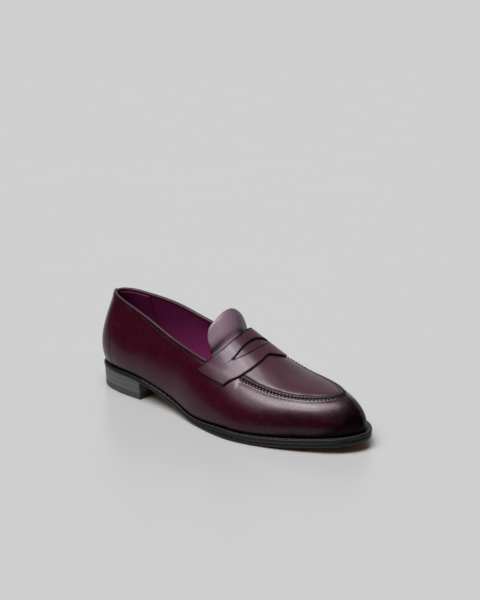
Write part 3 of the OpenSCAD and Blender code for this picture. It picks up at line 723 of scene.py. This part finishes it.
def strap_base(q, t):
    """A point under the strap; q runs from lateral to medial end, t from rear to front."""
    notch = 0.08 * np.maximum(0, 1 - np.abs(q - NOTCH_Q) / 0.12) ** 1.2
    rear, front = on_line(STRAP_REAR, q * 12), on_line(STRAP_FRONT, q * 12)
    s = rear + (front - rear) * t - notch * t ** 4
    low = STRAP_LOW[0] + (STRAP_LOW[1] - STRAP_LOW[0]) * t
    on_lat, on_med = q < 1 / 6, q > 5 / 6
    up = np.where(on_lat, q * 6, np.where(on_med, (1 - q) * 6, 1.0))
    side = wall(np.where(on_med, 20 - s, s), np.clip(low + (1 - low) * up, 0, 1))
    w = np.clip((q - 1 / 6) * 1.5, 0, 1)
    over = arch(s, w) + strap_swell(w, t)
    return np.where((on_lat | on_med)[..., None], side, over)


def strap_columns():
    """Values of q, closer together at the ends, the slot and the notch."""
    ends = [.003, .008, .0155, .9845, .992, .997]
    slot, notch = np.linspace(*SLOT_Q, 81), NOTCH_Q + np.linspace(-0.1, 0.1, 61)
    return np.unique(np.round(np.concatenate([np.linspace(0, 1, 161), ends, slot, notch]), 5))


def strap_piece():
    q = strap_columns()
    a = np.clip((q - SLOT_Q[0]) / (SLOT_Q[1] - SLOT_Q[0]) * 2 - 1, -1, 1)
    slot_rear, slot_front = SLOT_T - 0.11 * (1 - a * a), SLOT_T + 0.16 * (1 - a * a)
    share = np.concatenate([[0, .02, .045, .07, .1, .14], np.linspace(0.2, 0.8, 9),
                            [.86, .9, .93, .955, .98, 1]])[:, None]
    t = np.concatenate([share * slot_rear, slot_front + share * (1 - slot_front)], 0)
    rows, columns = len(share), len(q)
    q = np.broadcast_to(q[None], t.shape)
    p = strap_base(q, t)
    for _ in range(SMOOTHINGS):
        p[:, 1:-1] = 0.25 * p[:, :-2] + 0.5 * p[:, 1:-1] + 0.25 * p[:, 2:]
    n = np.concatenate([grid_out(p[:rows]), grid_out(p[rows:])], 0)
    outer = p + n * (1.75 + 0.35 * bell(t, 0.5, 0.5))[..., None]
    # no faces between the slot's rear row and its front row
    faces = [f for f in quads(2 * rows, columns).tolist() if f[0] // columns != rows - 1]
    width = np.linalg.norm(p[-1] - p[0], axis=-1)[None]
    edge = np.minimum(np.minimum(t, 1 - t) * width, np.minimum(q, 1 - q) * STRAP_LEN)
    open_slot = (slot_front - slot_rear > 0.004)[None]
    behind, ahead = (slot_rear[None] - t) * width, (t - slot_front[None]) * width
    burn_and_shade = 1.2 * ease((1.7 - edge) / 0.4) + 0.12 * np.exp(-edge / 4)
    burn_and_shade += open_slot * (1.2 * ease((1.4 - behind) / 0.3) * (behind > -0.01)
                         + 1.2 * ease((1.9 - ahead) / 0.3) * (ahead > -0.01))
    burn_and_shade += open_slot * 0.6 * bell(behind, 2.7, 0.35)
    strap = plate("saddle_strap_leather", outer, faces, STRAP_T, [strap_mat, cut_edge],
                  {"burn_and_shade": np.clip(burn_and_shade, 0, 1)}, bevel=0.4)
    place(strap, "strap_leather", "saddle_strap")


strap_piece()


# ------------------------ tongue

def tongue_rib(i, u):
    """Cross curve i of the tongue's outer face, u from -1 (lateral) to 1 (medial)."""
    x0, y0, z0, half, sweep, drop = TONGUE[i]
    x = x0 * SOLE_LEN
    return np.stack([x - sweep * u * u, y0 + half * u, feather_z(x) + z0 - drop * np.abs(u) ** 1.8], -1)


def narrower(rib, u, share):
    """The middle share of a cross curve, over as many points."""
    return np.stack([np.interp(share * u, u, rib[:, axis]) for axis in range(3)], -1)


def tongue_pieces():
    u = np.linspace(-1, 1, 61)
    foot = [arch(np.full_like(u, k), 0.5 + 0.47 * u) - np.array([0, 0, 1.6]) for k in (6.0, 5.72)]
    ribs = np.stack(foot + [tongue_rib(i, u) for i in range(len(TONGUE))], 0)
    tip = len(ribs) - 1
    r = np.concatenate([np.linspace(0, 2, 21)[:-1], np.linspace(2, tip, 61)])
    grid = np.stack([on_line(ribs, k) for k in r], 1)
    across, along = np.broadcast_arrays(u[:, None], r[None])
    edge = np.minimum((1 - np.abs(across)) * 26, (tip - along) * 3)
    # edge ink, painted shade where the tongue runs under the strap, and a little darker towards the edges
    burn_and_shade = 0.5 * bell(edge, 0, 0.7) + 0.9 * ease((2.12 - along) / 0.3) + 0.12 * np.exp(-edge / 4)
    # painted shade on the tongue's lateral edge and on its medial half, which turn away from the light
    burn_and_shade += 0.4 * ease((-across - 0.45) / 0.35) + 0.72 * ease((across + 0.05) / 0.5)
    flap = plate("tongue_leather_flap", grid, quads(len(u), len(r)).tolist(), UPPER_T,
                 [tongue_painted_sheen_mat, cut_edge], {"burn_and_shade": np.clip(burn_and_shade, 0, 1)}, bevel=0.3)
    # the lining ends a little inside the leather's edge
    lining_tip = tip - 0.4
    kept = np.append(r[r < lining_tip], lining_tip)
    inside = np.stack([narrower(on_line(ribs, k), u, 0.955) for k in kept], 1)
    flap_lining = plate("tongue_lining_flap", (inside - grid_out(inside) * UPPER_T),
                        quads(*inside.shape[:2]).tolist(), SKIN_T - LINING_D,
                        [lining, lining], {"burn_and_shade": np.zeros(inside.shape[:2])}, bevel=0.3)
    place(flap, "tongue_leather", "tongue", body=None)
    place(flap_lining, "lining_leather", "tongue_lining", body=None)
    for piece in (flap, flap_lining):
        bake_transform(piece)


tongue_pieces()


# ------------------------ linings

def lining_piece(name, s0, s1, node, near=LINING_D, far=SKIN_T, low_rim=0.0, lip=0.0):
    """A lining between two depths, its top low_rim below the topline; lip rounds its side edges."""
    extra = [s1, s0 + 0.012, s1 - 0.012, s0 + 0.03, s1 - 0.03, s0 + 0.06, s1 - 0.06] if lip else [s1]
    s = np.unique(np.round(np.concatenate([np.arange(s0, s1, 1 / 12), extra]), 4))
    v = np.linspace(0, 1, 44)[None] ** 0.9 * (1 - low_rim / mm_per_v(s))[:, None]
    sg = np.broadcast_to(s[:, None], v.shape)
    p, n = wall(sg, v), wall_out(sg, v)
    side = np.minimum(sg - s0, s1 - sg) * 24
    round_off = lip * np.exp(-np.maximum(side, 0) / 0.35)
    up = p[..., 2] - feather_z(p[..., 0])
    # painted shade deep down in the shoe; a lipped lining is darker along its side edges too
    burn_and_shade = 0.5 * np.exp(-np.maximum(up, 0) / 12) + (0.7 * bell(side, 0, 0.4) if lip else 0)
    sheet = shell(name, p - n * near, p - n * (far - round_off)[..., None], [lining],
                  {"burn_and_shade": (0 * burn_and_shade, burn_and_shade[:, ::-1], 0.0)}, bulge=0.5)
    place(sheet, "lining_leather", node)


def vamp_lining_piece():
    _, w, p, n = apron_grid(6.0, APRON_FRONT)
    leaf = shell("vamp_lining_leather", p - n * LINING_D, p - n * SKIN_T, [lining], {"burn_and_shade": (0 * w, 0, 0)},
                 bulge=0.3, weld=0.001)
    place(leaf, "lining_leather", "vamp_lining")


lining_piece("quarter_lining_lateral", 0, 10, "lining_lateral")
lining_piece("quarter_lining_medial", 10, 20, "lining_medial")
lining_piece("heel_lining_leather", -2.25, 2.25, "heel_lining",
             near=SKIN_T - 0.02, far=SKIN_T + 0.8, low_rim=2.2, lip=0.4)
vamp_lining_piece()


# ------------------------ topline binding

def bar_faces(n, m):
    """Faces of a bar of n rings with m points each, its two ends closed."""
    first = list(range(m))
    last = [(n - 1) * m + i for i in range(m)]
    return quads(n, m, wrap_v=True).tolist() + [first, last[::-1]]


def binding_piece():
    s = np.concatenate([np.arange(-5.075, 5.0, 1 / 24), [5.075]])
    base, out = wall(s, 1.0), wall_out(s, np.full_like(s, 1.0))
    rise = unit(base - wall(s, 0.985))
    across = np.linspace(-1, 1, 15)
    profile = []
    for k in across:
        depth = (SKIN_T + 0.5) / 2 * (1 - np.sign(k) * abs(math.sin(k * math.pi / 2)) ** 0.8) - 0.25
        height = -0.9 + 1.8 * (1 - abs(k) ** 3.2)
        profile.append(base - out * depth + rise * height)
    profile += [base - out * depth - rise for depth in (0.3, 2.7)]
    ring = np.stack(profile, 1)
    burn_and_shade = np.concatenate([np.tile(0.35 * bell(across, 1, 0.35), (len(s), 1)), np.ones((len(s), 2))], 1)
    edge = make("topline_binding_edge", ring, bar_faces(*ring.shape[:2]), [binding],
                {"burn_and_shade": burn_and_shade})
    place(edge, "binding_leather", "topline_binding")


binding_piece()


# ------------------------ sole unit

WELT_STITCHES = 96
WELT_START, WELT_SPAN = 3, 14


def at(s, inset, z, up=0.0):
    """The sole's outline moved in by inset, a little above or below the height z(x)."""
    return sole_point(s, np.broadcast_to(inset, s.shape), lambda x: z(x) + up)


def mid_line(x):
    """y half way between the sole's two edges."""
    k = np.linspace(0, 10, 201)
    lat, med = outline(k), outline(20 - k)
    return (np.interp(x, lat[:, 0], lat[:, 1]) + np.interp(x, med[:, 0], med[:, 1])) / 2


def narrowed(s, inset, share, z, up=0.0):
    """As at(), with a share of the width left; at 0 the ring lies on the mid line."""
    p = outline(s) - outward(s) * np.broadcast_to(inset, s.shape)[:, None]
    y = p[:, 1] * share + (1 - share) * mid_line(p[:, 0])
    return np.stack([p[:, 0], y, z(p[:, 0]) + up], 1)


def ring_solid(name, rows, materials, burn_and_shade=0.0, kinds=None, sharp=40):
    """A solid from rings round the shoe; the first and last lie on a line, which shuts it."""
    rings = np.stack(rows, 1)
    faces = quads(*rings.shape[:2], wrap_u=True)
    face_mat = None if kinds is None else np.asarray(kinds)[faces[:, 0] % len(rows)]
    return make(name, rings, faces.tolist(), materials,
                {"burn_and_shade": np.broadcast_to(burn_and_shade, rings.shape[:2])}, weld=0.01, sharp=sharp, face_mat=face_mat)


def welt_piece(name, s, notch):
    """A strip of welt, with a hollow of depth notch at each stitch."""
    fin = feather_in(outline(s)[..., 0])
    edge = 0 * fin
    hollow = notch * (0.5 + 0.5 * np.cos(2 * np.pi * s * WELT_STITCHES / WELT_SPAN)) ** 3
    rows = [(fin + 5, feather_z, -0.1), (fin + 0.8, feather_z, -0.1), (fin - 0.1, feather_z, -0.5),
            (fin - 0.9, feather_z, -0.12), (fin * 0.62, feather_z, 0), (fin * 0.4, feather_z, -0.04),
            (fin * 0.25 + 0.25, feather_z, -0.03), (edge + 0.65, feather_z, -0.06),
            (edge + 0.3, feather_z, -0.2), (edge + 0.08, feather_z, -0.48), (edge, feather_z, -0.9),
            (edge, welt_z, 0.5), (edge + 0.12, welt_z, 0.18), (edge + 0.45, welt_z, 0), (fin + 5, welt_z, 0)]
    pts = np.stack([at(s, *row) for row in rows], 1)
    pts[:, 5:8, 2] -= hollow[:, None] * np.array([0.5, 1.0, 0.8])
    return make(name, pts, bar_faces(*pts.shape[:2]), [welt_mat],
                {"burn_and_shade": np.zeros(pts.shape[:2])}, sharp=60)


def half_z(x):
    """Half way up the sole's edge."""
    return (welt_z(x) + sole_z(x)) / 2


def outsole_piece():
    s = np.linspace(0, 20, 641)[:-1]
    top = [narrowed(s, 12.0, share, welt_z) for share in (0.0, 0.2, 0.5, 0.8)]
    edge = [at(s, *row) for row in (
        (12.0, welt_z), (0.5, welt_z), (0.15, welt_z, -0.15), (0.0, welt_z, -0.5), (-0.05, half_z, 0.3),
        (0.05, sole_z, 1.25), (0.3, sole_z, 0.7), (0.8, sole_z, 0.25), (1.5, sole_z, 0.03))]
    # the closed channel of the stitching shows as a groove 6 mm in from the edge
    channel = [at(s, inset, sole_z, up) for inset, up in
               ((2.4, 0), (5.2, 0), (5.7, 0.12), (6.0, 0.3), (6.3, 0.12), (6.8, 0), (9.0, 0))]
    middle = [narrowed(s, 9.0, share, sole_z) for share in (0.85, 0.7, 0.55, 0.4, 0.25, 0.12, 0.0)]
    rows = top + edge + channel + middle
    inked = len(top) + len(edge) - 2
    bottom = inked + 1
    kinds = [0] * inked + [1] * (len(rows) - inked)
    burn_and_shade = np.zeros(len(rows))
    burn_and_shade[bottom:] = 0.1
    burn_and_shade[bottom:bottom + 2] = 0.7
    burn_and_shade[bottom + 4:bottom + 6] = 0.85
    sole = ring_solid("outsole_leather", rows, [sole_edge, sole_bottom], burn_and_shade, kinds, sharp=60)
    place(sole, "sole_leather", "outsole")


welt_s = np.linspace(WELT_START, WELT_START + WELT_SPAN, 9 * WELT_STITCHES)
rand_s = np.linspace(-WELT_START, WELT_START, 140)
place(welt_piece("welt_strip", welt_s, 0.16), "welt_leather", "welt")
place(welt_piece("rand_strip", rand_s, 0.0), "welt_leather", "heel_rand")
outsole_piece()


# ------------------------ heel

BREAST, HEEL_MID, HEEL_HALF, TOP_PIECE = 66.0, 35.0, 34, 6.0
LIFT = (HEEL_H - TOP_PIECE - 4) / 2
LAYER_GAP = 0.04


def heel_plan(inset):
    """The heel's outline from above, cut straight at the breast."""
    p = outline(np.linspace(-4.5, 4.5, 721))
    scale = 1 - inset / HEEL_HALF
    p = np.stack([HEEL_MID + (p[:, 0] - HEEL_MID) * scale, p[:, 1] * scale], 1)
    p = p[p[:, 0] <= BREAST - 0.2][::2]
    a, b = np.array([BREAST, p[-1, 1]]), np.array([BREAST, p[0, 1]])
    return np.concatenate([p, a + (b - a) * np.linspace(0.012, 0.988, 40)[:, None]])


def heel_layer(name, z0, z1, inset, material, node, slot, seat=False, foot=0.28):
    """One layer of the heel; the seat's top follows the sole, foot is the radius of its lower edge."""
    plan = heel_plan(inset)
    d = unit(np.roll(plan, -1, 0) - np.roll(plan, 1, 0))
    normal = np.stack([d[:, 1], -d[:, 0]], 1)
    if ((plan - plan.mean(0)) * normal).sum() < 0:
        normal = -normal

    def low_z(x):
        return np.full_like(x, z0)

    def high_z(x):
        return np.minimum(z1, sole_z(x)) if seat else np.full_like(x, z1)

    def closing(ring, z):
        return [np.column_stack([ring[:, 0], ring[:, 1] * share, z(ring[:, 0])])
                for share in (0.9, 0.7, 0.45, 0.2, 0.0)]

    top = high_z(plan[:, 0])
    rings = []
    for h, e in ((0, foot), (0.1 * foot, 0.55 * foot), (0.3 * foot, 0.22 * foot), (foot, 0)):
        rings.append(np.column_stack([plan - normal * e, low_z(plan[:, 0]) + h]))
    for share in (0.3, 0.55, 0.8):
        rings.append(np.column_stack([plan + normal * 0.05, z0 + (top - z0) * share]))
    for h, e in ((0.28, 0), (0.08, 0.06), (0.0, 0.25)):
        rings.append(np.column_stack([plan - normal * e, top - h]))
    rows = closing(rings[0], low_z)[::-1] + rings + closing(rings[-1], high_z)
    place(ring_solid(name, rows, [material], sharp=50), slot, node)


LOW, HIGH = TOP_PIECE + LIFT, TOP_PIECE + 2 * LIFT
heel_layer("heel_top_piece", 0, TOP_PIECE - LAYER_GAP, 1.2, rubber, "top_piece", "heel_rubber", foot=0.9)
heel_layer("heel_lift_low", TOP_PIECE, LOW - LAYER_GAP, 1.06, heel_painted_sheen_edge, "heel_lift_lower", "heel_leather")
heel_layer("heel_lift_high", LOW, HIGH - LAYER_GAP, 0.8, heel_painted_sheen_edge, "heel_lift_upper", "heel_leather")
heel_layer("heel_seat", HIGH, HEEL_H, 0.64, heel_painted_sheen_edge, "heel_seat_lift", "heel_leather", seat=True)


# ------------------------ sock liner

def sock_z(x):
    return feather_z(x) + SKIN_T + SOCK_LIFT


def sock_piece():
    s = np.linspace(0, 20, 481)[:-1]
    inset = feather_in(outline(s)[..., 0]) + SKIN_T + 1.6
    under = [narrowed(s, inset + 0.3, share, sock_z) for share in (0.0, 0.3, 0.7)]
    edge = [at(s, inset + extra, sock_z, up) for extra, up in
            ((0.3, 0.0), (0.0, 0.3), (0.15, 0.62), (0.6, 0.8), (2.4, 0.8))]
    over = [narrowed(s, inset + 2.4, share, sock_z, 0.8) for share in (0.85, 0.65, 0.45, 0.25, 0.1, 0.0)]
    place(ring_solid("sock_liner_leather", under + edge + over, [sock], 0.15), "sock_leather", "sock_liner")


sock_piece()


# ------------------------ stitches

def hump(n):
    """Half a wave in n samples, 0 at both ends."""
    return np.sin(np.linspace(0, np.pi, n))


def wall_surface(s, dist):
    """A point of the finished wall at a distance below the rim, and the normal there."""
    s = np.array([float(s)])
    v = 1 - dist / mm_per_v(s)
    p, n = wall(s, v), wall_out(s, v)
    h, _ = wall_relief(s, v, p)
    return (p + n * h[..., None])[0], n[0]


def apron_stitches():
    """Hand stitches from the wall, over the seam's roll and down into the apron."""
    paths, ups = [], []
    for i in range(STITCHES):
        s = float(np.interp(FIRST + i * PITCH, SEAM_ARC, SEAM_S))
        low, out = wall_surface(s, 2.5)
        high, _ = wall_surface(s, 1.3)
        mid = rim(np.array(s))
        tan = unit(rim(np.array(s + 0.02)) - rim(np.array(s - 0.02)))
        inward = unit(rim(np.array(20 - s)) - mid) if abs(s - 10) > 0.6 else np.array([-1.0, 0, 0])
        inward = unit(inward - tan * (inward @ tan))
        up = unit(out * 0.5 + np.array([0, 0, 1.0]))
        slant = tan * 0.55
        control = np.array([low - out * 0.15 - slant,
                            high + out * 0.28 - slant * 0.5,
                            mid + up * 0.95,
                            mid + inward * 0.7 + up * 0.9 + slant * 0.5,
                            mid + inward * 1.3 + up * 0.35 + slant])
        paths.append(np.array([on_line(control, k) for k in np.linspace(0, 4, 11)]))
        ups.append(up)
    row = tubes("apron_hand_stitches", paths, 0.56, [black_thread], sides=8, ups=ups)
    place(row, "seam_thread", "apron_stitches")


def toe_seam_threads():
    ends = np.linspace(0.1, 0.9, 14)
    paths = []
    for low, high in zip(ends[:-1], ends[1:]):
        v = np.linspace(low + 0.006, high - 0.006, 6)
        s = np.full_like(v, 10.0)
        paths.append(wall(s, v) + wall_out(s, v) * (0.35 + 0.25 * hump(6))[:, None])
    ups = [np.array([1.0, 0, 0.6])] * len(paths)
    row = tubes("toe_seam_thread", paths, 0.38, [black_thread], sides=8, ups=ups)
    place(row, "seam_thread", "toe_seam")


def topline_stitches():
    s = np.linspace(-4.95, 4.95, 1601)
    arc = arc_length(rim(s))
    count = int(arc[-1] / 2.6)
    paths, ups = [], []
    for i in range(count):
        ends = np.interp([(i + 0.14) * arc[-1] / count, (i + 0.86) * arc[-1] / count], arc, s)
        points = [wall_surface(k, 2.4) for k in np.linspace(*ends, 5)]
        paths.append([p + n * lift for (p, n), lift in zip(points, 0.12 + 0.16 * hump(5))])
        ups.append(points[2][1])
    row = tubes("topline_stitch_row", paths, 0.24, [topline_thread], ups=ups)
    place(row, "topline_thread", "topline_stitches")


def welt_stitches():
    paths = []
    for i in range(WELT_STITCHES):
        middle = WELT_START + WELT_SPAN * (i + 0.5) / WELT_STITCHES
        s = middle + np.linspace(-0.42, 0.42, 6) * WELT_SPAN / WELT_STITCHES
        p = at(s, feather_in(outline(s)[..., 0]) * 0.42, feather_z)
        p[:, 2] += 0.03 + 0.14 * hump(6)
        paths.append(p)
    row = tubes("welt_stitch_row", paths, 0.3, [welt_thread], flat=0.8)
    place(row, "welt_thread", "welt_stitches")


def strap_stitches():
    """A plain row across each end of the strap."""
    e, per_end = 0.004, 15
    paths, ups = [], []
    for end in (0.014, 0.986):
        for i in range(per_end):
            t = 0.05 + 0.9 * (i + np.array([0.12, 0.3, 0.5, 0.7, 0.88])) / per_end
            q = np.full_like(t, end)
            n = unit(np.cross(strap_base(q, t + e) - strap_base(q, t - e),
                              strap_base(q + e, t) - strap_base(q - e, t)))
            paths.append(strap_base(q, t) + n * (1.8 + 0.15 * hump(5))[:, None])
            ups.append(n[2])
    row = tubes("strap_end_stitches", paths, 0.26, [black_thread], ups=ups)
    place(row, "seam_thread", "strap_stitches")


apron_stitches()
toe_seam_threads()
topline_stitches()
welt_stitches()
strap_stitches()


# ------------------------ back tab

def back_tab_piece():
    half = 0.17
    s, v = np.meshgrid(np.linspace(-half, half, 17), np.linspace(0.875, 0.985, 20), indexing="ij")
    p, n = wall(s, v), wall_out(s, v)
    side = (s / half) ** 6
    outer = p + n * (2.3 - 0.7 * side)[..., None]
    tab = shell("back_tab_loop", outer, p + n * 0.15, [tab_mat], {"burn_and_shade": (0.6 * side, 0, 1)})
    place(tab, "tab_leather", "back_tab")


back_tab_piece()


# ------------------------ stage, light, camera

def stage_material():
    g = Graph("studio_floor")
    dust = g.noise(9.0, 4.0)
    color = g.mix(g.ramp(dust, 0.3, 0.7), (0.425, 0.425, 0.427), (0.428, 0.428, 0.43))
    return g.finish(color, g.ramp(dust, 0.3, 0.7, 0.26, 0.27), specular_ior_level=0.5)


floor_mesh = bpy.data.meshes.new("floor")
floor_mesh.from_pydata([(-20, -20, 0), (20, -20, 0), (20, 20, 0), (-20, 20, 0)], [], [(0, 1, 2, 3)])
floor_mesh.materials.append(stage_material())
floor = bpy.data.objects.new("floor", floor_mesh)
bpy.context.scene.collection.objects.link(floor)


def studio_world():
    """Pale for the camera; for reflections a dark room, with the pale backdrop glowing at its far side."""
    w = bpy.data.worlds.new("studio")
    w.use_nodes = True
    tree = w.node_tree
    tree.nodes.clear()
    new = tree.nodes.new
    seen, room = new("ShaderNodeBackground"), new("ShaderNodeBackground")
    both, out = new("ShaderNodeMixShader"), new("ShaderNodeOutputWorld")
    seen.inputs["Color"].default_value = (0.63, 0.63, 0.64, 1)
    room.inputs["Color"].default_value = (1.0, 1.0, 1.02, 1)
    facing, glow = new("ShaderNodeVectorMath"), new("ShaderNodeMapRange")
    facing.operation = "DOT_PRODUCT"
    facing.inputs[1].default_value = (-0.608, 0.794, 0.0)
    glow.interpolation_type = "SMOOTHSTEP"
    for key, value in (("From Min", 0.5), ("From Max", 0.97), ("To Min", 0.015), ("To Max", 0.62)):
        glow.inputs[key].default_value = value
    tree.links.new(new("ShaderNodeTexCoord").outputs["Generated"], facing.inputs[0])
    tree.links.new(facing.outputs["Value"], glow.inputs["Value"])
    tree.links.new(glow.outputs["Result"], room.inputs["Strength"])
    tree.links.new(new("ShaderNodeLightPath").outputs["Is Camera Ray"], both.inputs[0])
    tree.links.new(room.outputs[0], both.inputs[1])
    tree.links.new(seen.outputs[0], both.inputs[2])
    tree.links.new(both.outputs[0], out.inputs["Surface"])
    return w


bpy.context.scene.world = studio_world()


def direction(azimuth, elevation):
    """Towards a light or the camera; azimuth 0 is the lateral side and 90 the toe."""
    az, el = math.radians(azimuth), math.radians(elevation)
    return Vector((math.sin(az) * math.cos(el), -math.cos(az) * math.cos(el), math.sin(el)))


def sun(name, azimuth, elevation, angle, strength):
    data = bpy.data.lights.new(name, "SUN")
    data.angle, data.energy = math.radians(angle), strength
    obj = bpy.data.objects.new(name, data)
    obj.rotation_euler = direction(azimuth, elevation).to_track_quat("Z", "Y").to_euler()
    bpy.context.scene.collection.objects.link(obj)


sun("softbox_low", -25, 48, 26, 0.35)
sun("softbox_middle", -11, 65, 34, 2.7)
sun("softbox_high", 30, 86, 30, 1.5)
sun("backdrop_bounce", 200, 68, 60, 0.25)

CAMERA_TARGET, CAMERA_DISTANCE = Vector((-0.14227, 0.20519, 0.030)), 1.32603

camera_data = bpy.data.cameras.new("camera")
camera_data.lens, camera_data.sensor_width = 69.70, 36
camera = bpy.data.objects.new("camera", camera_data)
back = direction(37.48, 17.67)
camera.location = CAMERA_TARGET + back * CAMERA_DISTANCE
camera.rotation_euler = back.to_track_quat("Z", "Y").to_euler()
bpy.context.scene.collection.objects.link(camera)
bpy.context.scene.camera = camera
bpy.context.scene.view_settings.view_transform = "Standard"
